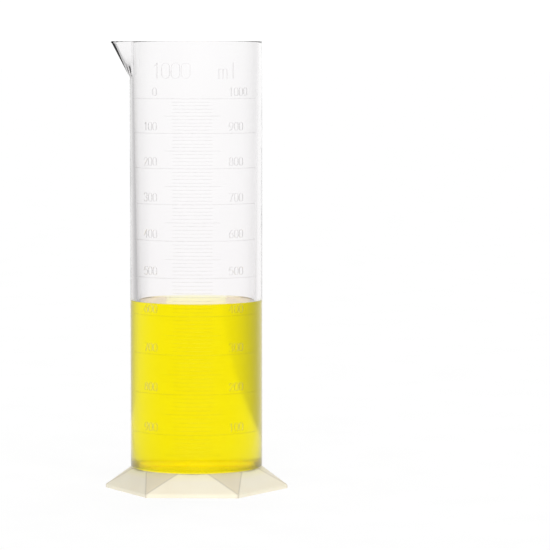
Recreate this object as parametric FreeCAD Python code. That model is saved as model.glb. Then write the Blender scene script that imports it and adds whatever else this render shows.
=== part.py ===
import FreeCAD, Part
import functools
import math
import os

from FreeCAD import Vector

# A one-litre graduated cylinder: a clear moulded tube with a pouring spout and a raised
# double scale, standing in the socket of a hexagonal foot, with liquid in it.
# Lengths are in millimetres, angles in degrees and volumes in millilitres.
# The origin is the centre of the foot's underside. +Z is up, the scale faces -Y and
# the spout points along -X.

# Tube
TUBE_RADIUS = 41.3
RIM_Z = 280.3
SHOULDER_Z = 13.8
SHOULDER_ROUND = 1.2
SPIGOT_RADIUS = 37.8
SPIGOT_Z = 9.3
FLOOR_Z = 12.2
BORE_RADIUS_AT_FLOOR = 35.05
BORE_RADIUS_AT_RIM = 39.45
FLOOR_ROUND = 3.0

# Spout
SPOUT_REACH = 53.2
SPOUT_FOOT_Z = 257.3
SPOUT_HALF_ANGLE = 43.6
SPOUT_SPAN = 32.0
SPOUT_WALL = 2.0
SPOUT_ROOT = 0.3
SPOUT_TIP_SOFTNESS = 1.5
SPOUT_POINTS_PER_SIDE = 14

# Foot
FOOT_CORNER_RADIUS = 57.2
FOOT_FLANGE_HEIGHT = 2.2
FOOT_RING_RADIUS = 40.9
FOOT_WALL = 2.5
FACET_TOP_HALF_ANGLE = 13.5
SOCKET_RADIUS = SPIGOT_RADIUS + 0.05
SOCKET_FLOOR_Z = SPIGOT_Z - 0.2
SOCKET_WALL = 1.6
SOCKET_PLATE = 1.8
CORNER_ANGLES = range(0, 360, 60)

# Scale
CAPACITY_ML = 1000
FIRST_LINE_ML = 50
FINE_STEP_ML = 10
MIDDLE_STEP_ML = 50
MAIN_STEP_ML = 100
FINE_LINE = {"half_angle": 17.0, "thickness": 0.35}
MIDDLE_LINE = {"half_angle": 24.3, "thickness": 0.4}
MAIN_LINE = {"half_angle": 65.0, "thickness": 0.5}
RELIEF = 0.2
NUMERAL_ANGLE = 40.0
NUMERAL_GAP = 1.8
NUMERAL_STYLE = {"height": 4.9, "stroke": 0.42, "pitch": 3.8}
AMOUNT_ANGLE = -19.0
AMOUNT_STYLE = {"height": 9.5, "stroke": 0.4, "pitch": 6.5}
UNIT_ANGLE = 32.5
UNIT_STYLE = {"height": 9.5, "stroke": 0.4, "pitch": 8.0}
LEGEND_Z = 257.5

# Liquid
LIQUID_ML = 429

UP = Vector(0, 0, 1)
ORIGIN = Vector(0, 0, 0)
OVERSHOOT = 2.0


def polar(radius, angle, z=0.0):
    """Point at a radius and an angle from +X, in the plane at height z."""
    turn = math.radians(angle)
    return Vector(radius * math.cos(turn), radius * math.sin(turn), z)


def disc(radius, low_z, high_z):
    return Part.makeCylinder(radius, high_z - low_z, Vector(0, 0, low_z))


def edges_at(solid, z):
    """Edges that lie flat at height z."""
    box_edges = [(edge, edge.BoundBox) for edge in solid.Edges]
    tolerance = 1e-3
    return [
        edge
        for edge, box in box_edges
        if abs(box.ZMin - z) < tolerance and abs(box.ZMax - z) < tolerance
    ]


def round_bottom(solid, z, radius):
    return solid.makeFillet(radius, edges_at(solid, z))


# ---- bore and what it holds -------------------------------------------------------


def bore_radius(z):
    """The bore widens evenly from the floor to the rim."""
    share = (z - FLOOR_Z) / (RIM_Z - FLOOR_Z)
    return BORE_RADIUS_AT_FLOOR + share * (BORE_RADIUS_AT_RIM - BORE_RADIUS_AT_FLOOR)


def volume_below(z):
    """Millilitres held below height z: a cone frustum less the rounded floor corner."""
    low = BORE_RADIUS_AT_FLOOR
    high = bore_radius(z)
    frustum = math.pi * (z - FLOOR_Z) * (low**2 + low * high + high**2) / 3
    corner_area = (1 - math.pi / 4) * FLOOR_ROUND**2
    centroid_share = (10 - 3 * math.pi) / (12 - 3 * math.pi)
    corner_centroid = low - centroid_share * FLOOR_ROUND
    corner = 2 * math.pi * corner_centroid * corner_area
    cubic_mm_per_ml = 1000
    return (frustum - corner) / cubic_mm_per_ml


def level_of(volume):
    """Height of the liquid's surface when the tube holds this volume."""
    low = FLOOR_Z
    high = RIM_Z
    halvings = 40
    for _ in range(halvings):
        middle = (low + high) / 2
        if volume_below(middle) < volume:
            low = middle
        else:
            high = middle
    return (low + high) / 2


def bore_form(top_z):
    """The bore as a solid, from the floor to top_z."""
    cone = Part.makeCone(
        BORE_RADIUS_AT_FLOOR, bore_radius(top_z), top_z - FLOOR_Z, Vector(0, 0, FLOOR_Z)
    )
    return round_bottom(cone, FLOOR_Z, FLOOR_ROUND)


# ---- tube -------------------------------------------------------------------------


def beak_radius(angle, reach):
    """Radius of a straight-sided beak at an angle from its tip's direction."""
    half = math.radians(SPOUT_HALF_ANGLE)
    soft = math.radians(SPOUT_TIP_SOFTNESS)
    turn = math.hypot(math.radians(angle), soft) - soft
    return reach * math.sin(half) / math.sin(half + turn)


def spout_section(z, foot_z, root_radius, reach):
    """Closed outline of the spout at height z: an arc at foot_z that grows into a beak."""
    share = (z - foot_z) / (RIM_Z - foot_z)
    points = []
    for step in range(-SPOUT_POINTS_PER_SIDE, SPOUT_POINTS_PER_SIDE + 1):
        place = step / SPOUT_POINTS_PER_SIDE
        angle = SPOUT_SPAN * place * abs(place)
        radius = (1 - share) * root_radius + share * beak_radius(angle, reach)
        points.append(polar(radius, 180 + angle, z))
    curve = Part.BSplineCurve()
    curve.interpolate(points)
    closing = Part.makePolygon([points[-1], Vector(-TUBE_RADIUS / 2, 0, z), points[0]])
    return Part.Wire([curve.toShape()] + closing.Edges)


def spout_form(wall_radius, reach):
    """Solid beak that grows out of a wall of this radius, as far as reach at the rim."""
    slope = (SPOUT_REACH - TUBE_RADIUS) / (RIM_Z - SPOUT_FOOT_Z)
    root_radius = wall_radius - SPOUT_ROOT
    foot_z = RIM_Z - (reach - root_radius) / slope
    low = spout_section(foot_z, foot_z, root_radius, reach)
    high = spout_section(RIM_Z + OVERSHOOT, foot_z, root_radius, reach)
    return Part.makeLoft([low, high], True, True)


def tube():
    barrel = round_bottom(disc(TUBE_RADIUS, SHOULDER_Z, RIM_Z + OVERSHOOT), SHOULDER_Z, SHOULDER_ROUND)
    beak = spout_form(TUBE_RADIUS, SPOUT_REACH)
    tip_wall = SPOUT_WALL / math.sin(math.radians(SPOUT_HALF_ANGLE))
    channel = spout_form(bore_radius(RIM_Z), SPOUT_REACH - tip_wall)
    body = barrel.fuse(beak).cut(channel).cut(bore_form(RIM_Z + 2 * OVERSHOOT))
    body = body.common(disc(2 * TUBE_RADIUS, 0, RIM_Z))
    closed_end = disc(SPIGOT_RADIUS, SPIGOT_Z, SHOULDER_Z + SHOULDER_ROUND)
    return body.fuse(closed_end.cut(bore_form(RIM_Z))).removeSplitter()


def liquid_fill():
    return bore_form(level_of(LIQUID_ML))


# ---- foot -------------------------------------------------------------------------


def foot_form(corner_radius, bottom_z, flange_z, ring_radius, top_z):
    """Solid that goes from an upright hexagonal flange to a round top.

    Six flat facets rise from the hexagon's sides, and between them six rounded corner
    facets fan out from its corners.
    """
    half_side = 30
    top = FACET_TOP_HALF_ANGLE
    faces = []
    rim = []
    for corner_angle in CORNER_ANGLES:
        corner = polar(corner_radius, corner_angle, flange_z)
        arc = Part.Arc(
            polar(ring_radius, corner_angle - half_side + top, top_z),
            polar(ring_radius, corner_angle, top_z),
            polar(ring_radius, corner_angle + half_side - top, top_z),
        ).toShape()
        faces += Part.makeLoft([Part.Vertex(corner), Part.Wire(arc)], False, True).Faces
        side_angle = corner_angle + half_side
        next_corner = polar(corner_radius, corner_angle + 2 * half_side, flange_z)
        facet_top = [
            polar(ring_radius, side_angle + top, top_z),
            polar(ring_radius, side_angle - top, top_z),
        ]
        faces.append(Part.Face(Part.makePolygon([corner, next_corner] + facet_top + [corner])))
        rim += [arc, Part.makeLine(*facet_top)]
        low_corner = polar(corner_radius, corner_angle, bottom_z)
        low_next = polar(corner_radius, corner_angle + 2 * half_side, bottom_z)
        flange = [low_corner, low_next, next_corner, corner, low_corner]
        faces.append(Part.Face(Part.makePolygon(flange)))
    faces.append(Part.Face(Part.Wire(Part.__sortEdges__(rim))))
    base = [polar(corner_radius, angle, bottom_z) for angle in CORNER_ANGLES]
    faces.append(Part.Face(Part.makePolygon(base + base[:1])))
    shell = Part.makeShell(faces)
    shell.sewShape()
    solid = Part.makeSolid(shell)
    if solid.Volume < 0:
        solid.reverse()
    return solid


def hexagonal_foot():
    outside = foot_form(
        FOOT_CORNER_RADIUS, 0, FOOT_FLANGE_HEIGHT, FOOT_RING_RADIUS, SHOULDER_Z
    )
    half_side_cosine = math.cos(math.radians(30))
    hollow = foot_form(
        FOOT_CORNER_RADIUS - FOOT_WALL / half_side_cosine,
        -OVERSHOOT,
        FOOT_FLANGE_HEIGHT / 2,
        FOOT_RING_RADIUS - FOOT_WALL,
        SHOULDER_Z - FOOT_WALL,
    )
    cup = disc(SOCKET_RADIUS + SOCKET_WALL, SOCKET_FLOOR_Z - SOCKET_PLATE, SHOULDER_Z)
    socket = disc(SOCKET_RADIUS, SOCKET_FLOOR_Z, SHOULDER_Z + OVERSHOOT)
    return outside.cut(hollow).fuse(cup.common(outside)).cut(socket).removeSplitter()


# ---- raised scale -----------------------------------------------------------------


def raised_line(volume, half_angle, thickness):
    """Raised arc across the front of the tube, at the level of a volume."""
    low_z = level_of(volume) - thickness / 2
    high_z = low_z + thickness
    outer = TUBE_RADIUS + RELIEF
    section = Part.makePolygon(
        [
            Vector(TUBE_RADIUS, 0, low_z),
            Vector(outer, 0, low_z),
            Vector(outer, 0, high_z),
            Vector(TUBE_RADIUS, 0, high_z),
            Vector(TUBE_RADIUS, 0, low_z),
        ]
    )
    line = Part.Face(section).revolve(ORIGIN, UP, 2 * half_angle)
    line.rotate(ORIGIN, UP, -90 - half_angle)
    return line


def lines_every(step, coarser_step, style):
    """Lines at each multiple of step, apart from those that a coarser scale holds."""
    volumes = range(step, CAPACITY_ML + 1, step)
    wanted = [
        volume
        for volume in volumes
        if volume >= FIRST_LINE_ML and (coarser_step is None or volume % coarser_step)
    ]
    return Part.makeCompound([raised_line(volume, **style) for volume in wanted])


# Strokes of each character in a cell 1 high, with x from -HALF to HALF.
# Two points are a straight stroke and three are an arc through the middle one.
HALF = 0.29
STROKES = {
    "0": [
        [(-HALF, 0.3), (-HALF, 0.7)],
        [(-HALF, 0.7), (0, 1), (HALF, 0.7)],
        [(HALF, 0.7), (HALF, 0.3)],
        [(HALF, 0.3), (0, 0), (-HALF, 0.3)],
    ],
    "1": [[(-0.16, 0.8), (0.04, 1)], [(0.04, 1), (0.04, 0)]],
    "2": [
        [(-HALF, 0.76), (0, 1), (HALF, 0.72)],
        [(HALF, 0.72), (-HALF, 0)],
        [(-HALF, 0), (HALF, 0)],
    ],
    "3": [
        [(-HALF, 0.85), (0.22, 0.82), (-0.04, 0.54)],
        [(-0.04, 0.54), (0.25, 0.25), (-HALF, 0.12)],
    ],
    "4": [[(0.12, 0), (0.12, 1)], [(0.12, 1), (-HALF, 0.3)], [(-HALF, 0.3), (HALF, 0.3)]],
    "5": [
        [(HALF, 1), (-0.2, 1)],
        [(-0.2, 1), (-HALF, 0.56)],
        [(-HALF, 0.56), (HALF, 0.34), (-HALF, 0.1)],
    ],
    "6": [
        [(0.18, 1), (-0.14, 0.75), (-HALF, 0.32)],
        [(-HALF, 0.32), (0, 0), (HALF, 0.32)],
        [(HALF, 0.32), (0, 0.62), (-HALF, 0.32)],
    ],
    "7": [[(-HALF, 1), (HALF, 1)], [(HALF, 1), (-0.08, 0)]],
    "8": [
        [(0, 0.54), (-0.23, 0.77), (0, 1)],
        [(0, 1), (0.23, 0.77), (0, 0.54)],
        [(0, 0.54), (-HALF, 0.27), (0, 0)],
        [(0, 0), (HALF, 0.27), (0, 0.54)],
    ],
    "9": [
        [(-0.18, 0), (0.14, 0.25), (HALF, 0.68)],
        [(HALF, 0.68), (0, 1), (-HALF, 0.68)],
        [(-HALF, 0.68), (0, 0.38), (HALF, 0.68)],
    ],
    "m": [
        [(-HALF, 0), (-HALF, 0.62)],
        [(-HALF, 0.5), (-0.13, 0.63), (0, 0.5)],
        [(0, 0.5), (0, 0)],
        [(0, 0.5), (0.13, 0.63), (HALF, 0.5)],
        [(HALF, 0.5), (HALF, 0)],
    ],
    "l": [[(-0.1, 1), (-0.1, 0)]],
}


def stroke_prism(points, width, depth):
    """One stroke with round ends, standing in the XZ plane and extruded along -Y."""
    half = width / 2
    through = Vector(0, -depth, 0)
    ends = [
        Part.makeCylinder(half, depth, point, Vector(0, -1, 0))
        for point in (points[0], points[-1])
    ]
    if len(points) == 2:
        along = (points[1] - points[0]).normalize()
        across = Vector(along.z, 0, -along.x) * half
        outline = [points[0] + across, points[1] + across, points[1] - across, points[0] - across]
        band = Part.Face(Part.makePolygon(outline + outline[:1])).extrude(through)
    else:
        circle = Part.Arc(*points).toShape().Curve
        band = ring_band(points, circle, half, depth)
    return band.fuse(ends)


def ring_band(points, circle, half, depth):
    """A band of a flat ring, between the arc's two ends and holding its middle point."""
    edges = []
    for radius in (circle.Radius - half, circle.Radius + half):
        scaled = [circle.Center + (point - circle.Center).normalize() * radius for point in points]
        edges.append(Part.Arc(*scaled).toShape())
    inner, outer = edges
    start = Part.makeLine(inner.firstVertex().Point, outer.firstVertex().Point)
    end = Part.makeLine(inner.lastVertex().Point, outer.lastVertex().Point)
    outline = Part.Wire(Part.__sortEdges__([inner, outer, start, end]))
    return Part.Face(outline).extrude(Vector(0, -depth, 0))


@functools.lru_cache(maxsize=None)
def raised_character(character, height, stroke_width):
    """A character in relief at the very front of the tube, with its base line at z=0."""
    depth = 2.0
    start_y = -TUBE_RADIUS + depth / 2
    prisms = []
    for stroke in STROKES[character]:
        points = [Vector(x * height, start_y, z * height) for x, z in stroke]
        prisms.append(stroke_prism(points, stroke_width, depth))
    flat = prisms[0].multiFuse(prisms[1:]) if len(prisms) > 1 else prisms[0]
    skin = disc(TUBE_RADIUS + RELIEF, -height, 2 * height)
    skin = skin.cut(disc(TUBE_RADIUS, -height, 2 * height))
    return flat.common(skin).removeSplitter()


def raised_text(text, style, angle, base_z, places_before):
    """Characters side by side; angle is where the one after places_before others stands."""
    pitch_angle = math.degrees(style["pitch"] / TUBE_RADIUS)
    characters = []
    for place, character in enumerate(text):
        solid = raised_character(character, style["height"], style["stroke"]).copy()
        solid.translate(Vector(0, 0, base_z))
        solid.rotate(ORIGIN, UP, angle + (place - places_before) * pitch_angle)
        characters.append(solid)
    return characters


def numerals(angle, value_at, places_before):
    """A column of numbers at the main lines; value_at gives the number for a volume."""
    characters = []
    for volume in range(MAIN_STEP_ML, CAPACITY_ML + 1, MAIN_STEP_ML):
        base_z = level_of(volume) + NUMERAL_GAP
        text = str(value_at(volume))
        characters += raised_text(text, NUMERAL_STYLE, angle, base_z, places_before(text))
    return Part.makeCompound(characters)


def numerals_contained():
    """What the tube holds up to each line, on the right, set flush left."""
    return numerals(NUMERAL_ANGLE, lambda volume: volume, lambda text: 1)


def numerals_poured():
    """What is poured out of a full tube down to each line, on the left, set flush right."""
    return numerals(-NUMERAL_ANGLE, lambda volume: CAPACITY_ML - volume, lambda text: len(text) - 2)


def capacity_legend():
    amount_text = str(CAPACITY_ML)
    unit_text = "ml"
    amount_middle = (len(amount_text) - 1) / 2
    unit_middle = (len(unit_text) - 1) / 2
    amount = raised_text(amount_text, AMOUNT_STYLE, AMOUNT_ANGLE, LEGEND_Z, amount_middle)
    unit = raised_text(unit_text, UNIT_STYLE, UNIT_ANGLE, LEGEND_Z, unit_middle)
    return Part.makeCompound(amount + unit)


def write_parts():
    parts = {
        "tube": tube(),
        "hexagonal_foot": hexagonal_foot(),
        "liquid_fill": liquid_fill(),
        "lines_every_10_ml": lines_every(FINE_STEP_ML, MIDDLE_STEP_ML, FINE_LINE),
        "lines_every_50_ml": lines_every(MIDDLE_STEP_ML, MAIN_STEP_ML, MIDDLE_LINE),
        "lines_every_100_ml": lines_every(MAIN_STEP_ML, None, MAIN_LINE),
        "numerals_contained": numerals_contained(),
        "numerals_poured": numerals_poured(),
        "capacity_legend": capacity_legend(),
    }
    os.makedirs("parts", exist_ok=True)
    for name, shape in parts.items():
        shape.exportStep(f"parts/{name}.step")
        box = shape.BoundBox
        print(name, shape.isValid(), len(shape.Solids), round(shape.Volume, 1), box)
    print("liquid surface z", round(level_of(LIQUID_ML), 2))
    print("full scale z", round(level_of(CAPACITY_ML), 2))


write_parts()
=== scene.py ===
import math

import bmesh
import bpy
import numpy as np
from mathutils import Matrix, Vector


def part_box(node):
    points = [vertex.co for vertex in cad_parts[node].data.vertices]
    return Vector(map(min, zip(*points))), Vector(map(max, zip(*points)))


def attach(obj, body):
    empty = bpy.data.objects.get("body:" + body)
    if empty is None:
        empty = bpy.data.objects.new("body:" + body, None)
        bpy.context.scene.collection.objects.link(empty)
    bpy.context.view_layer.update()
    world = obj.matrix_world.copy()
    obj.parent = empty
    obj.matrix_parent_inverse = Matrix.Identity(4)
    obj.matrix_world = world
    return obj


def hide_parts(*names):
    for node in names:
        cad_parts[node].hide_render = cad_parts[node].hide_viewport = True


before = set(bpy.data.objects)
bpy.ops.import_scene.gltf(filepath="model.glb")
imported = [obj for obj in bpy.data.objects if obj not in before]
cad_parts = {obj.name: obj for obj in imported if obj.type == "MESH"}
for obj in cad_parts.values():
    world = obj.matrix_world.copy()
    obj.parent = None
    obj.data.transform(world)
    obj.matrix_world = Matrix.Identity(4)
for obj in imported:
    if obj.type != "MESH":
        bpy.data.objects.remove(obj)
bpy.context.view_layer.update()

# Lengths are in metres and angles in radians, in the frame's axes: +Z up, the scale
# faces -Y and the spout points along -X.
MM = 0.001

# Sizes that the frame gives.
TUBE_LOW, TUBE_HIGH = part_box("tube")
FOOT_LOW, FOOT_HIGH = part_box("hexagonal_foot")
LIQUID_LOW, LIQUID_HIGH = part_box("liquid_fill")
TUBE_RADIUS = TUBE_HIGH.x
RIM_Z = TUBE_HIGH.z
SPIGOT_Z = TUBE_LOW.z
SHOULDER_Z = FOOT_HIGH.z
FLOOR_Z = LIQUID_LOW.z
SURFACE_Z = LIQUID_HIGH.z
SPOUT_REACH = -TUBE_LOW.x
FOOT_CORNER_RADIUS = FOOT_HIGH.x

# Tube
SHOULDER_ROUND = 1.2 * MM
SPIGOT_RADIUS = 37.8 * MM
BORE_RADIUS_AT_FLOOR = 35.05 * MM
BORE_RADIUS_AT_RIM = 39.45 * MM
FLOOR_ROUND = 3.0 * MM
RIM_ROUND = 0.7 * MM
EDGE_ROUND = 0.4 * MM

# Spout
SPOUT_FOOT_Z = 257.3 * MM
SPOUT_HALF_ANGLE = math.radians(43.6)
SPOUT_WALL = 2.0 * MM
SPOUT_ROOT = 0.3 * MM
SPOUT_TIP_SOFTNESS = math.radians(1.5)
SPOUT_FLARE = 1.2 * MM

# Foot
FOOT_FLANGE_HEIGHT = 2.2 * MM
FOOT_RING_RADIUS = 40.9 * MM
FOOT_WALL = 2.5 * MM
FACET_TOP_HALF_ANGLE = math.radians(13.5)
SOCKET_RADIUS = SPIGOT_RADIUS + 0.05 * MM
SOCKET_FLOOR_Z = SPIGOT_Z - 0.2 * MM
SOCKET_PLATE = 1.8 * MM
SOCKET_WALL = 1.6 * MM

# Liquid. Its mesh reaches a little into the plastic, so that light passes from one
# to the other with no air between.
LIQUID_OVERLAP = 0.15 * MM
MENISCUS_RISE = 0.5 * MM
MENISCUS_REACH = 1.2 * MM

# Clear plastic and liquid. The clear plastic loses its gloss below BOTTOM_GLOSS_Z.
PLASTIC_IOR = 1.49
LIQUID_IOR = 1.333
PLASTIC_REFLECTION = (0.1, 0.1, 0.1, 1.0)
LIQUID_REFLECTION = (0.05, 0.05, 0.05, 1.0)
HAZE_COLOUR = (0.3, 0.0, 0.08, 1.0)
HAZE_DENSITY = 5.0
YELLOW = (0.999, 0.982, 0.0, 1.0)
YELLOW_DENSITY = 105.0
BOTTOM_GLOSS_Z = 45 * MM
BOTTOM_ROUGHNESS = 0.14

# Milky plastic of the foot. Just under the tube its cream turns yellower: painted yellow
# light from the liquid. The corner faces and the creases are darker: painted shade. The
# glow stands for light that reaches the socket through the foot's walls.
CREAM_LOW = (0.91, 0.84, 0.665)
CREAM_HIGH = (0.94, 0.88, 0.715)
PAINTED_YELLOW_LIGHT = (1.0, 0.9, 0.35, 1.0)
PAINTED_YELLOW_LIGHT_DEPTH = 5 * MM
PAINTED_YELLOW_LIGHT_SHARE = 0.4
CORNER_SHADE_COLOUR = (0.66, 0.55, 0.33, 1.0)
CORNER_SHADE_SHARE = 0.3
CORNER_SHADE_BLUR = 0.4 * MM
CREASE_SHADE_COLOUR = (0.40, 0.35, 0.27, 1.0)
CREASE_SHADE_SHARE = 0.4
CREASE_SHADE_HALF_WIDTH = 0.7 * MM
NO_GLOW = (0.0, 0.0, 0.0, 1.0)
RING_GLOW = (0.5, 0.46, 0.37, 1.0)
SOCKET_GLOW = (0.93, 0.86, 0.69, 1.0)
GLOW_RADIUS = 40.8 * MM
GLOW_BLUR = 0.2 * MM

# Surroundings. They darken to each side, from start to full in the sideways part of a
# direction; the floor does so from floor_start to floor_full metres from the middle, and
# floor_slant metres further out for each metre further back, as the camera's view does.
BACKDROP_LIGHT = 1.06
FLOOR_GLOW = 0.88
FLOOR_RADIUS = 30.0
SHADES = (
    {
        "side": -1,
        "start": 0.12,
        "full": 0.72,
        "amount": 0.52,
        "floor_start": 0.125,
        "floor_full": 0.18,
        "floor_slant": 0.12,
    },
    {
        "side": 1,
        "start": 0.45,
        "full": 0.95,
        "amount": 0.58,
        "floor_start": 0.222,
        "floor_full": 0.28,
        "floor_slant": 0.05,
    },
)
FRONT_LIGHT_POWER = 0.8
FRONT_LIGHT_WIDTH = math.radians(60)
FRONT_LIGHT_SIDE = math.radians(280)
FRONT_LIGHT_RISE = math.radians(25)
LIGHT_BOUNCES = 32

# Sockets of Blender's mix node when it blends numbers and when it blends colours.
MIX_NUMBERS = (2, 3)
MIX_COLOURS = (6, 7)
MIX_RESULT_NUMBER = 0
MIX_RESULT_COLOUR = 2


# ---- meshes -----------------------------------------------------------------------


def smooth_object(name, mesh, sharp_angle):
    """Object for a mesh, with smooth shading but for edges sharper than sharp_angle."""
    mesh.shade_smooth()
    mesh.set_sharp_from_angle(angle=math.radians(sharp_angle))
    piece = bpy.data.objects.new(name, mesh)
    bpy.context.scene.collection.objects.link(piece)
    return piece


def closed_skin(name, loops, sharp_angle=35):
    """A closed surface through loops of equal length, with a fan to a point at each end."""
    shell = bmesh.new()
    rows = [[shell.verts.new(point) for point in loop] for loop in loops]
    count = len(rows[0])
    for low, high in zip(rows, rows[1:]):
        for here in range(count):
            after = (here + 1) % count
            shell.faces.new((low[here], low[after], high[after], high[here]))
    for row, loop in ((rows[0], loops[0]), (rows[-1], loops[-1])):
        centre = shell.verts.new(np.mean(loop, axis=0))
        for here in range(count):
            shell.faces.new((row[here], row[(here + 1) % count], centre))
    bmesh.ops.remove_doubles(shell, verts=shell.verts, dist=0.001 * MM)
    bmesh.ops.recalc_face_normals(shell, faces=shell.faces)
    mesh = bpy.data.meshes.new(name)
    shell.to_mesh(mesh)
    shell.free()
    return smooth_object(name, mesh, sharp_angle)


def ring(turns, radius, z):
    """Loop of points at angles from +X; the radius and height may vary round the loop."""
    radii = np.broadcast_to(radius, turns.shape)
    heights = np.broadcast_to(z, turns.shape)
    return np.stack([radii * np.cos(turns), radii * np.sin(turns), heights], axis=1)


def quarter_round(radius, z, size, start, steps=6):
    """Points (radius, z) along a quarter circle about a centre, from an angle of start."""
    return [
        (radius + size * math.cos(turn), z + size * math.sin(turn))
        for turn in np.linspace(start, start + math.pi / 2, steps)
    ]


# ---- tube -------------------------------------------------------------------------


def bore_radius(z):
    share = (z - FLOOR_Z) / (RIM_Z - FLOOR_Z)
    return BORE_RADIUS_AT_FLOOR + share * (BORE_RADIUS_AT_RIM - BORE_RADIUS_AT_FLOOR)


def tube_turns():
    """Angles round the tube, closest together at the spout's tip, which is at pi."""
    spout_half = math.radians(45)
    spout_points = 140
    other_points = 220
    crowd = 1.6
    place = np.linspace(-1, 1, spout_points, endpoint=False)
    spout = math.pi + spout_half * np.sign(place) * np.abs(place) ** crowd
    start = math.pi + spout_half
    end = 3 * math.pi - spout_half
    return np.concatenate([spout, np.linspace(start, end, other_points, endpoint=False)])


def wall_with_spout(turns, z, wall_radius, reach):
    """Radius of a round wall that grows a straight-sided beak towards the rim."""
    slope = (SPOUT_REACH - TUBE_RADIUS) / (RIM_Z - SPOUT_FOOT_Z)
    root = TUBE_RADIUS - SPOUT_ROOT if reach == SPOUT_REACH else BORE_RADIUS_AT_RIM - SPOUT_ROOT
    foot_z = RIM_Z - (reach - root) / slope
    share = (z - foot_z) / (RIM_Z - foot_z)
    if share <= 0:
        return np.full(turns.shape, wall_radius)
    from_tip = np.abs(turns - math.pi)
    from_tip = np.minimum(from_tip, 2 * math.pi - from_tip)
    soft = np.hypot(from_tip, SPOUT_TIP_SOFTNESS) - SPOUT_TIP_SOFTNESS
    widest = math.pi / 2 - SPOUT_HALF_ANGLE
    sine = np.sin(SPOUT_HALF_ANGLE + np.minimum(soft, widest))
    beak = reach * math.sin(SPOUT_HALF_ANGLE) / sine
    grown = (1 - share) * root + share * beak
    # A smooth maximum of beak and round wall, which rounds off the fold between them.
    flare = SPOUT_FLARE * share**2
    overlap = np.maximum(flare - np.abs(grown - wall_radius), 0) / flare
    return np.maximum(grown, wall_radius) + overlap**2 * flare / 4


def outside_loop(turns, z):
    return ring(turns, wall_with_spout(turns, z, TUBE_RADIUS, SPOUT_REACH), z)


def inside_loop(turns, z):
    reach = SPOUT_REACH - SPOUT_WALL / math.sin(SPOUT_HALF_ANGLE)
    return ring(turns, wall_with_spout(turns, z, bore_radius(z), reach), z)


def rounded_edge(edge, inward, size, turns):
    """Loops that round an edge: a turn of 0 lies on its wall and a quarter turn on top."""
    loops = []
    for turn in turns:
        drop = np.zeros_like(edge)
        drop[:, 2:] = size * (1 - math.sin(turn))
        loops.append(edge + inward * size * (1 - math.cos(turn)) - drop)
    return loops


def rim_loops(turns):
    """The rounded top edge, from the outside wall over to the inside wall."""
    outer = outside_loop(turns, RIM_Z)
    inner = inside_loop(turns, RIM_Z)
    across = inner - outer
    width = np.linalg.norm(across, axis=1, keepdims=True)
    inward = across / width
    most_of_half = 0.45
    size = np.minimum(RIM_ROUND, most_of_half * width)
    rising = np.linspace(0, math.pi / 2, 5)
    over = rounded_edge(outer, inward, size, rising)
    return over + rounded_edge(inner, -inward, size, rising[::-1])


def make_tube():
    """The tube as one skin: spigot, outside wall and spout, rim, bore and its floor."""
    turns = tube_turns()
    wall_start = SHOULDER_Z + SHOULDER_ROUND
    spout_start = SPOUT_FOOT_Z - 5 * MM
    below_rim = RIM_Z - 2 * RIM_ROUND
    plain_wall = np.linspace(wall_start, spout_start, 24, endpoint=False)
    wall_heights = np.concatenate([plain_wall, np.linspace(spout_start, below_rim, 40)])
    edge_centre = (SPIGOT_RADIUS - EDGE_ROUND, SPIGOT_Z + EDGE_ROUND)
    profile = quarter_round(*edge_centre, EDGE_ROUND, -math.pi / 2)
    profile.append((SPIGOT_RADIUS, SHOULDER_Z))
    shoulder_centre = (TUBE_RADIUS - SHOULDER_ROUND, wall_start)
    profile += quarter_round(*shoulder_centre, SHOULDER_ROUND, -math.pi / 2, 9)[:-1]
    loops = [ring(turns, radius, z) for radius, z in profile]
    loops += [outside_loop(turns, z) for z in wall_heights]
    loops += rim_loops(turns)
    bore_heights = wall_heights[wall_heights > FLOOR_Z + 2 * FLOOR_ROUND]
    loops += [inside_loop(turns, z) for z in bore_heights[::-1]]
    loops += [ring(turns, radius, z) for radius, z in floor_corner(0)]
    return closed_skin("measuring_tube", loops)


def floor_corner(grow):
    """Profile of the bore's rounded floor corner, from the wall in; grow moves it outward."""
    centre_radius = BORE_RADIUS_AT_FLOOR - FLOOR_ROUND
    corner = quarter_round(centre_radius, FLOOR_Z + FLOOR_ROUND, FLOOR_ROUND + grow, -math.pi / 2, 9)
    return corner[::-1]


# ---- liquid -----------------------------------------------------------------------


def make_liquid():
    """The liquid, with its surface curving up where it wets the wall."""
    turns = np.linspace(0, 2 * math.pi, 320, endpoint=False)
    edge_radius = bore_radius(SURFACE_Z) + LIQUID_OVERLAP
    profile = floor_corner(LIQUID_OVERLAP)[::-1]
    for z in np.linspace(FLOOR_Z + 2 * FLOOR_ROUND, SURFACE_Z, 14):
        profile.append((bore_radius(z) + LIQUID_OVERLAP, z))
    curved_width = 6 * MENISCUS_REACH
    for step in np.linspace(0, 1, 16):
        from_wall = curved_width * step**2
        height = SURFACE_Z + MENISCUS_RISE * math.exp(-from_wall / MENISCUS_REACH)
        profile.append((edge_radius - from_wall, height))
    return closed_skin("yellow_liquid", [ring(turns, radius, z) for radius, z in profile], 60)


# ---- foot -------------------------------------------------------------------------


def hex_outline(corner_radius, z, points_per_part=8):
    """Hexagon with each corner repeated, so that it pairs point by point with round_outline."""
    points = []
    for corner in range(6):
        turn = corner * math.pi / 3
        here = corner_radius * np.array([math.cos(turn), math.sin(turn)])
        after = corner_radius * np.array([math.cos(turn + math.pi / 3), math.sin(turn + math.pi / 3)])
        points += [here] * points_per_part
        for share in np.linspace(0, 1, points_per_part, endpoint=False):
            points.append(here + share * (after - here))
    return np.column_stack([points, np.full(len(points), z)])


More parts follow.
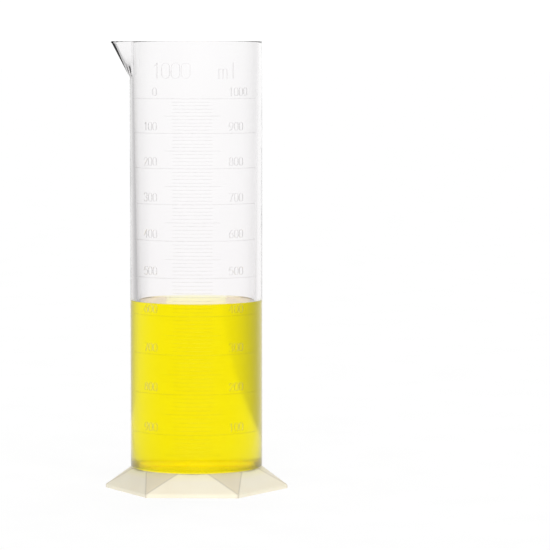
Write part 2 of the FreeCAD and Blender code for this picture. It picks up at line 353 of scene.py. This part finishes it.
def round_outline(radius, z, points_per_part=8):
    """Circle with six flats: an arc over each corner and a chord over each side."""
    corner_half = math.pi / 6 - FACET_TOP_HALF_ANGLE
    points = []
    for corner in range(6):
        turn = corner * math.pi / 3
        for place in np.linspace(-corner_half, corner_half, points_per_part, endpoint=False):
            points.append(radius * np.array([math.cos(turn + place), math.sin(turn + place)]))
        start = turn + corner_half
        end = turn + math.pi / 3 - corner_half
        here = radius * np.array([math.cos(start), math.sin(start)])
        after = radius * np.array([math.cos(end), math.sin(end)])
        for share in np.linspace(0, 1, points_per_part, endpoint=False):
            points.append(here + share * (after - here))
    return np.column_stack([points, np.full(len(points), z)])


def circle_like(outline, radius, z):
    """Circle with a point at the same angle as each point of an outline."""
    return ring(np.arctan2(outline[:, 1], outline[:, 0]), radius, z)


def slope_loops(low, high, low_ease, high_ease):
    """Loops from one outline up to another, rounded off where the slope starts and ends."""
    return [low + (high - low) * share for share in (low_ease, 0.35, 0.65, 1 - high_ease)]


def make_foot():
    """The foot as one skin: socket, top, slopes, flange, hollow underside and cup."""
    corner = FOOT_CORNER_RADIUS
    ease = EDGE_ROUND
    flange = hex_outline(corner, FOOT_FLANGE_HEIGHT)
    top = round_outline(FOOT_RING_RADIUS, SHOULDER_Z)
    wall_corner = FOOT_WALL / math.cos(math.pi / 6)
    inner_flange = hex_outline(corner - wall_corner, FOOT_FLANGE_HEIGHT / 2)
    inner_top = round_outline(FOOT_RING_RADIUS - FOOT_WALL, SHOULDER_Z - FOOT_WALL)
    plate_z = SOCKET_FLOOR_Z - SOCKET_PLATE
    collar_radius = SOCKET_RADIUS + SOCKET_WALL
    collar_share = 0.45
    collar_start = inner_flange + (inner_top - inner_flange) * collar_share
    loops = [circle_like(top, SOCKET_RADIUS / 2, SOCKET_FLOOR_Z)]
    loops.append(circle_like(top, SOCKET_RADIUS, SOCKET_FLOOR_Z))
    loops.append(circle_like(top, SOCKET_RADIUS, SHOULDER_Z - ease / 2))
    loops.append(circle_like(top, SOCKET_RADIUS + ease / 2, SHOULDER_Z))
    loops.append(round_outline(FOOT_RING_RADIUS - ease, SHOULDER_Z))
    loops += slope_loops(flange, top, 0.03, 0.03)[::-1]
    loops.append(hex_outline(corner, FOOT_FLANGE_HEIGHT - ease / 2))
    loops.append(hex_outline(corner, ease / 2))
    loops.append(hex_outline(corner - ease / 2, 0))
    loops.append(hex_outline(corner - wall_corner + ease / 2, 0))
    loops.append(hex_outline(corner - wall_corner, ease / 2))
    loops.append(inner_flange)
    loops.append(collar_start)
    loops.append(circle_like(top, collar_radius, collar_start[0, 2]))
    loops.append(circle_like(top, collar_radius, plate_z + ease))
    loops.append(circle_like(top, collar_radius - ease, plate_z))
    loops.append(circle_like(top, SOCKET_RADIUS / 2, plate_z))
    return closed_skin("hexagonal_foot_moulding", loops, 7)


# ---- materials --------------------------------------------------------------------


class Nodes:
    """A small helper for building a node tree."""

    def __init__(self, tree):
        self.tree = tree
        tree.nodes.clear()

    def add(self, kind, settings=None, **inputs):
        """Adds a node; inputs are numbers, colours or sockets of other nodes."""
        made = self.tree.nodes.new(kind)
        for key, value in (settings or {}).items():
            setattr(made, key, value)
        for key, value in inputs.items():
            self.fill(made.inputs[key.replace("_", " ")], value)
        return made

    def fill(self, port, value):
        """Links a socket of another node to an input, or sets a plain value on it."""
        if isinstance(value, bpy.types.NodeSocket):
            self.tree.links.new(value, port)
        else:
            port.default_value = value


def new_material(name):
    material = bpy.data.materials.new(name)
    material.use_nodes = True
    return material, Nodes(material.node_tree)


def noise_between(nodes, scale, low, high, detail=2.0):
    """A number that wanders between low and high over the surface."""
    place = nodes.add("ShaderNodeTexCoord").outputs["Object"]
    noise = nodes.add("ShaderNodeTexNoise", Vector=place, Scale=scale, Detail=detail)
    spread = nodes.add("ShaderNodeMapRange", Value=noise.outputs["Fac"])
    spread.inputs["From Min"].default_value = 0.3
    spread.inputs["From Max"].default_value = 0.7
    spread.inputs["To Min"].default_value = low
    spread.inputs["To Max"].default_value = high
    return spread.outputs["Result"]


def colour_between(nodes, scale, low, high):
    """A colour that wanders between two over the surface."""
    share = noise_between(nodes, scale, 0.0, 1.0)
    return mix_colours(nodes, share, (*low, 1), (*high, 1))


def maths(nodes, operation, first, second=0.0):
    """One sum on one or two values, each either a socket or a number."""
    node = nodes.add("ShaderNodeMath", {"operation": operation})
    nodes.fill(node.inputs[0], first)
    nodes.fill(node.inputs[1], second)
    return node.outputs["Value"]


def map_range(nodes, value, low, high, at_low, at_high):
    """A number that goes smoothly from one value to another as its input goes low to high."""
    fall = nodes.add("ShaderNodeMapRange", {"interpolation_type": "SMOOTHSTEP"}, Value=value)
    fall.inputs["From Min"].default_value = low
    fall.inputs["From Max"].default_value = high
    fall.inputs["To Min"].default_value = at_low
    fall.inputs["To Max"].default_value = at_high
    return fall.outputs["Result"]


def mix_colours(nodes, share, first, second):
    """The first colour where the share is 0, the second where it is 1."""
    blend = nodes.add("ShaderNodeMix", {"data_type": "RGBA"})
    nodes.fill(blend.inputs[0], share)
    for place, value in zip(MIX_COLOURS, (first, second)):
        nodes.fill(blend.inputs[place], value)
    return blend.outputs[MIX_RESULT_COLOUR]


def mix_numbers(nodes, share, first, second):
    """The first number where the share is 0, the second where it is 1."""
    blend = nodes.add("ShaderNodeMix")
    nodes.fill(blend.inputs[0], share)
    for place, value in zip(MIX_NUMBERS, (first, second)):
        nodes.fill(blend.inputs[place], value)
    return blend.outputs[MIX_RESULT_NUMBER]


def soft_bump(nodes, scale, distance):
    """A gentle waviness of the surface."""
    height = noise_between(nodes, scale, 0.0, 1.0, detail=1.0)
    bump = nodes.add("ShaderNodeBump", Height=height, Distance=distance, Strength=1.0)
    return bump.outputs["Normal"]


def clear_plastic():
    """Clear moulded plastic, faintly wavy from the mould and less glossy at its bottom edge."""
    material, nodes = new_material("clear_plastic")
    place = nodes.add("ShaderNodeTexCoord").outputs["Object"]
    height = nodes.add("ShaderNodeSeparateXYZ", Vector=place).outputs["Z"]
    wall_start = SHOULDER_Z + SHOULDER_ROUND
    dulled = map_range(nodes, height, BOTTOM_GLOSS_Z, wall_start, 0, BOTTOM_ROUGHNESS)
    gloss = noise_between(nodes, 60, 0.0, 0.03)
    shader = nodes.add(
        "ShaderNodeBsdfPrincipled",
        Base_Color=colour_between(nodes, 18, (0.99, 0.988, 0.989), (1.0, 0.998, 0.999)),
        Roughness=maths(nodes, "ADD", gloss, dulled),
        IOR=PLASTIC_IOR,
        Specular_Tint=PLASTIC_REFLECTION,
        Transmission_Weight=1.0,
        Normal=soft_bump(nodes, 30, 0.02 * MM),
    )
    haze = nodes.add("ShaderNodeVolumeAbsorption", Color=HAZE_COLOUR, Density=HAZE_DENSITY)
    nodes.add(
        "ShaderNodeOutputMaterial",
        Surface=shader.outputs["BSDF"],
        Volume=haze.outputs["Volume"],
    )
    return material


def relief_plastic():
    """The same plastic where it stands proud as a mark: very slightly frosted."""
    material, nodes = new_material("relief_plastic")
    shader = nodes.add(
        "ShaderNodeBsdfPrincipled",
        Base_Color=colour_between(nodes, 300, (0.89, 0.885, 0.885), (0.945, 0.94, 0.94)),
        Roughness=noise_between(nodes, 900, 0.08, 0.2),
        IOR=PLASTIC_IOR,
        Specular_Tint=PLASTIC_REFLECTION,
        Transmission_Weight=1.0,
    )
    nodes.add("ShaderNodeOutputMaterial", Surface=shader.outputs["BSDF"])
    return material


def yellow_liquid():
    """Clear liquid whose yellow comes from what it absorbs."""
    material, nodes = new_material("yellow_liquid")
    shader = nodes.add(
        "ShaderNodeBsdfPrincipled",
        Base_Color=colour_between(nodes, 12, (1.0, 0.99, 0.93), (1.0, 0.995, 0.96)),
        Roughness=0.0,
        IOR=LIQUID_IOR,
        Specular_Tint=LIQUID_REFLECTION,
        Transmission_Weight=1.0,
    )
    volume = nodes.add("ShaderNodeVolumeAbsorption", Color=YELLOW, Density=YELLOW_DENSITY)
    nodes.add(
        "ShaderNodeOutputMaterial",
        Surface=shader.outputs["BSDF"],
        Volume=volume.outputs["Volume"],
    )
    return material


def milky_plastic():
    """Cream plastic: painted shade on corner faces and creases, socket lit through thin walls."""
    material, nodes = new_material("milky_plastic")
    place = nodes.add("ShaderNodeTexCoord").outputs["Object"]
    apart = nodes.add("ShaderNodeSeparateXYZ", Vector=place)
    from_axis = plan_distance(nodes, place)
    turn = maths(nodes, "ARCTAN2", apart.outputs["Y"], apart.outputs["X"])
    from_corner = maths(nodes, "PINGPONG", turn, math.pi / 6)
    shader = nodes.add(
        "ShaderNodeBsdfPrincipled",
        Base_Color=foot_colour_with_painted_light(nodes, apart.outputs["Z"], from_axis, from_corner),
        Roughness=noise_between(nodes, 160, 0.28, 0.42),
        IOR=PLASTIC_IOR,
        Subsurface_Weight=0.25,
        Subsurface_Radius=(1.0, 0.95, 0.85),
        Subsurface_Scale=2.0 * MM,
        Emission_Color=socket_glow(nodes, from_axis, from_corner),
        Emission_Strength=1.0,
        Normal=soft_bump(nodes, 220, 0.03 * MM),
    )
    nodes.add("ShaderNodeOutputMaterial", Surface=shader.outputs["BSDF"])
    return material


def foot_colour_with_painted_light(nodes, height, from_axis, from_corner):
    """Cream; painted yellow light just under the tube and painted shade on corner faces and creases.
    """
    cream = colour_between(nodes, 45, CREAM_LOW, CREAM_HIGH)
    # Painted yellow light from the liquid, on the foot just under the tube.
    yellow_light_share = map_range(nodes, height, SHOULDER_Z - PAINTED_YELLOW_LIGHT_DEPTH, SHOULDER_Z, 0, PAINTED_YELLOW_LIGHT_SHARE)
    with_yellow_light = mix_colours(nodes, yellow_light_share, cream, PAINTED_YELLOW_LIGHT)
    beside = corner_line_distance(nodes, from_axis, from_corner)
    # Painted shade on the corner faces.
    corner_shade = map_range(nodes, beside, -CORNER_SHADE_BLUR, CORNER_SHADE_BLUR, 0, CORNER_SHADE_SHARE)
    faces = mix_colours(nodes, corner_shade, with_yellow_light, CORNER_SHADE_COLOUR)
    # Painted shade along the creases.
    off_crease = maths(nodes, "ABSOLUTE", beside)
    crease_shade = map_range(nodes, off_crease, CREASE_SHADE_HALF_WIDTH, 0, 0, CREASE_SHADE_SHARE)
    return mix_colours(nodes, crease_shade, faces, CREASE_SHADE_COLOUR)


def socket_glow(nodes, from_axis, from_corner):
    """Light given off in the socket and, less, on the flat ring round it."""
    in_ring = map_range(nodes, from_axis, GLOW_RADIUS, GLOW_RADIUS - GLOW_BLUR, 0, 1)
    to_side = maths(nodes, "SUBTRACT", math.pi / 6, from_corner)
    outward = maths(nodes, "MULTIPLY", from_axis, maths(nodes, "COSINE", to_side))
    slope_start = FOOT_RING_RADIUS * math.cos(FACET_TOP_HALF_ANGLE)
    off_slope = map_range(nodes, outward, slope_start, slope_start - GLOW_BLUR, 0, 1)
    lit = maths(nodes, "MULTIPLY", in_ring, off_slope)
    in_socket = map_range(nodes, from_axis, SOCKET_RADIUS + GLOW_BLUR, SOCKET_RADIUS, 0, 1)
    glow = mix_colours(nodes, in_socket, RING_GLOW, SOCKET_GLOW)
    return mix_colours(nodes, lit, NO_GLOW, glow)


def flattened(nodes, place):
    """A position or direction without its height."""
    flat = nodes.add("ShaderNodeVectorMath", {"operation": "MULTIPLY"})
    nodes.fill(flat.inputs[0], place)
    nodes.fill(flat.inputs[1], (1, 1, 0))
    return flat.outputs["Vector"]


def plan_distance(nodes, place):
    """Distance from the upright axis."""
    length = nodes.add("ShaderNodeVectorMath", {"operation": "LENGTH"})
    nodes.fill(length.inputs[0], flattened(nodes, place))
    return length.outputs["Value"]


def corner_line_distance(nodes, from_axis, from_corner):
    """Distance inside the line where a sloping side of the foot meets its corner face."""
    top_turn = math.pi / 6 - FACET_TOP_HALF_ANGLE
    back = FOOT_CORNER_RADIUS - FOOT_RING_RADIUS * math.cos(top_turn)
    across = FOOT_RING_RADIUS * math.sin(top_turn)
    length = math.hypot(back, across)
    along = maths(nodes, "MULTIPLY", from_axis, maths(nodes, "COSINE", from_corner))
    aside = maths(nodes, "MULTIPLY", from_axis, maths(nodes, "SINE", from_corner))
    inward = maths(nodes, "SUBTRACT", FOOT_CORNER_RADIUS, along)
    inward_part = maths(nodes, "MULTIPLY", inward, across / length)
    return maths(nodes, "SUBTRACT", inward_part, maths(nodes, "MULTIPLY", aside, back / length))


def give(piece, material):
    """Puts one material on a piece, whatever slots it has."""
    if not piece.material_slots:
        piece.data.materials.append(material)
    for slot in piece.material_slots:
        slot.material = material


# ---- pieces -----------------------------------------------------------------------


def add_pieces():
    """Gives the marks their material, and puts the detailed pieces in place of the rest."""
    relief = relief_plastic()
    for mark in (
        "lines_every_10_ml",
        "lines_every_50_ml",
        "lines_every_100_ml",
        "numerals_contained",
        "numerals_poured",
        "capacity_legend",
    ):
        give(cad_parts[mark], relief)
    stand_ins = (
        (make_tube(), "tube", "filled_tube", "clear_plastic", clear_plastic()),
        (make_liquid(), "liquid_fill", "filled_tube", "yellow_liquid", yellow_liquid()),
        (make_foot(), "hexagonal_foot", "foot", "milky_plastic", milky_plastic()),
    )
    for piece, node, body, slot, material in stand_ins:
        give(piece, material)
        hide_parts(node)
        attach(piece, body)


# ---- surroundings -----------------------------------------------------------------


def side_shade(nodes, place):
    """Brightness by direction: full ahead and behind, and darker out to each side."""
    unit = nodes.add("ShaderNodeVectorMath", {"operation": "NORMALIZE"})
    nodes.fill(unit.inputs[0], flattened(nodes, place))
    across = nodes.add("ShaderNodeSeparateXYZ", Vector=unit.outputs["Vector"]).outputs["X"]
    falls = []
    for shade in SHADES:
        start = shade["side"] * shade["start"]
        full = shade["side"] * shade["full"]
        falls.append(map_range(nodes, across, start, full, 1, 1 - shade["amount"]))
    return maths(nodes, "MULTIPLY", *falls)


def light_world():
    """Even white surroundings that fall off to the left and, less, to the right."""
    world = bpy.data.worlds.new("surroundings")
    bpy.context.scene.world = world
    world.use_nodes = True
    nodes = Nodes(world.node_tree)
    place = nodes.add("ShaderNodeTexCoord").outputs["Generated"]
    strength = maths(nodes, "MULTIPLY", side_shade(nodes, place), BACKDROP_LIGHT)
    glow = nodes.add("ShaderNodeBackground", Color=(1, 1, 1, 1), Strength=strength)
    nodes.add("ShaderNodeOutputWorld", Surface=glow.outputs["Background"])


def add_front_light():
    """A wide soft light from above the front, a little to the right."""
    lamp = bpy.data.lights.new("front_light", "SUN")
    lamp.energy = FRONT_LIGHT_POWER
    lamp.angle = FRONT_LIGHT_WIDTH
    holder = bpy.data.objects.new("front_light", lamp)
    bpy.context.scene.collection.objects.link(holder)
    level = math.cos(FRONT_LIGHT_RISE)
    east = level * math.cos(FRONT_LIGHT_SIDE)
    north = level * math.sin(FRONT_LIGHT_SIDE)
    towards = Vector((east, north, math.sin(FRONT_LIGHT_RISE)))
    holder.rotation_euler = towards.to_track_quat("Z", "Y").to_euler()


def make_floor():
    """A pale floor, lit like a light table, that runs into the surroundings further out."""
    shell = bmesh.new()
    bmesh.ops.create_circle(shell, cap_ends=True, segments=96, radius=FLOOR_RADIUS)
    mesh = bpy.data.meshes.new("floor")
    shell.to_mesh(mesh)
    shell.free()
    floor = bpy.data.objects.new("floor", mesh)
    bpy.context.scene.collection.objects.link(floor)
    material, nodes = new_material("floor_white")
    place = nodes.add("ShaderNodeTexCoord").outputs["Object"]
    apart = nodes.add("ShaderNodeSeparateXYZ", Vector=place)
    beyond = []
    for shade in SHADES:
        slant = -shade["side"] * shade["floor_slant"]
        wider = maths(nodes, "MULTIPLY", apart.outputs["Y"], slant)
        across = maths(nodes, "ADD", apart.outputs["X"], wider)
        start = shade["side"] * shade["floor_start"]
        full = shade["side"] * shade["floor_full"]
        beyond.append(map_range(nodes, across, start, full, 0, 1))
    off_middle = maths(nodes, "ADD", *beyond)
    brightness = mix_numbers(nodes, off_middle, 1.0, side_shade(nodes, place))
    matte = nodes.add(
        "ShaderNodeBsdfPrincipled",
        Base_Color=colour_between(nodes, 20, (0.14, 0.14, 0.14), (0.16, 0.16, 0.16)),
        Roughness=0.9,
        Specular_IOR_Level=0.0,
        Emission_Color=(1, 1, 1, 1),
        Emission_Strength=maths(nodes, "MULTIPLY", brightness, FLOOR_GLOW),
    )
    nodes.add("ShaderNodeOutputMaterial", Surface=matte.outputs["BSDF"])
    give(floor, material)


def make_camera():
    """Camera at the rim's height, looking slightly down and past the right of the tube."""
    azimuth = math.radians(3.3)
    distance = 2.125
    height = RIM_Z + 1.3 * MM
    yaw = math.radians(1.33)
    pitch = math.radians(3.97)
    focal_length = 222.5
    camera = bpy.data.cameras.new("camera")
    camera.lens = focal_length
    camera.sensor_width = 36
    holder = bpy.data.objects.new("camera", camera)
    bpy.context.scene.collection.objects.link(holder)
    holder.location = (distance * math.sin(azimuth), -distance * math.cos(azimuth), height)
    turn = Matrix.Rotation(azimuth - yaw, 4, "Z") @ Matrix.Rotation(math.pi / 2 - pitch, 4, "X")
    holder.rotation_euler = turn.to_euler()
    bpy.context.scene.camera = holder


def let_light_through():
    """Enough bounces for light to cross the tube, the liquid and the tube again."""
    cycles = bpy.context.scene.cycles
    cycles.max_bounces = LIGHT_BOUNCES
    cycles.transmission_bounces = LIGHT_BOUNCES
    cycles.transparent_max_bounces = LIGHT_BOUNCES
    cycles.glossy_bounces = 8
    cycles.diffuse_bounces = 4
    bpy.context.scene.view_settings.view_transform = "Standard"


make_camera()
add_pieces()
make_floor()
light_world()
add_front_light()
let_light_through()
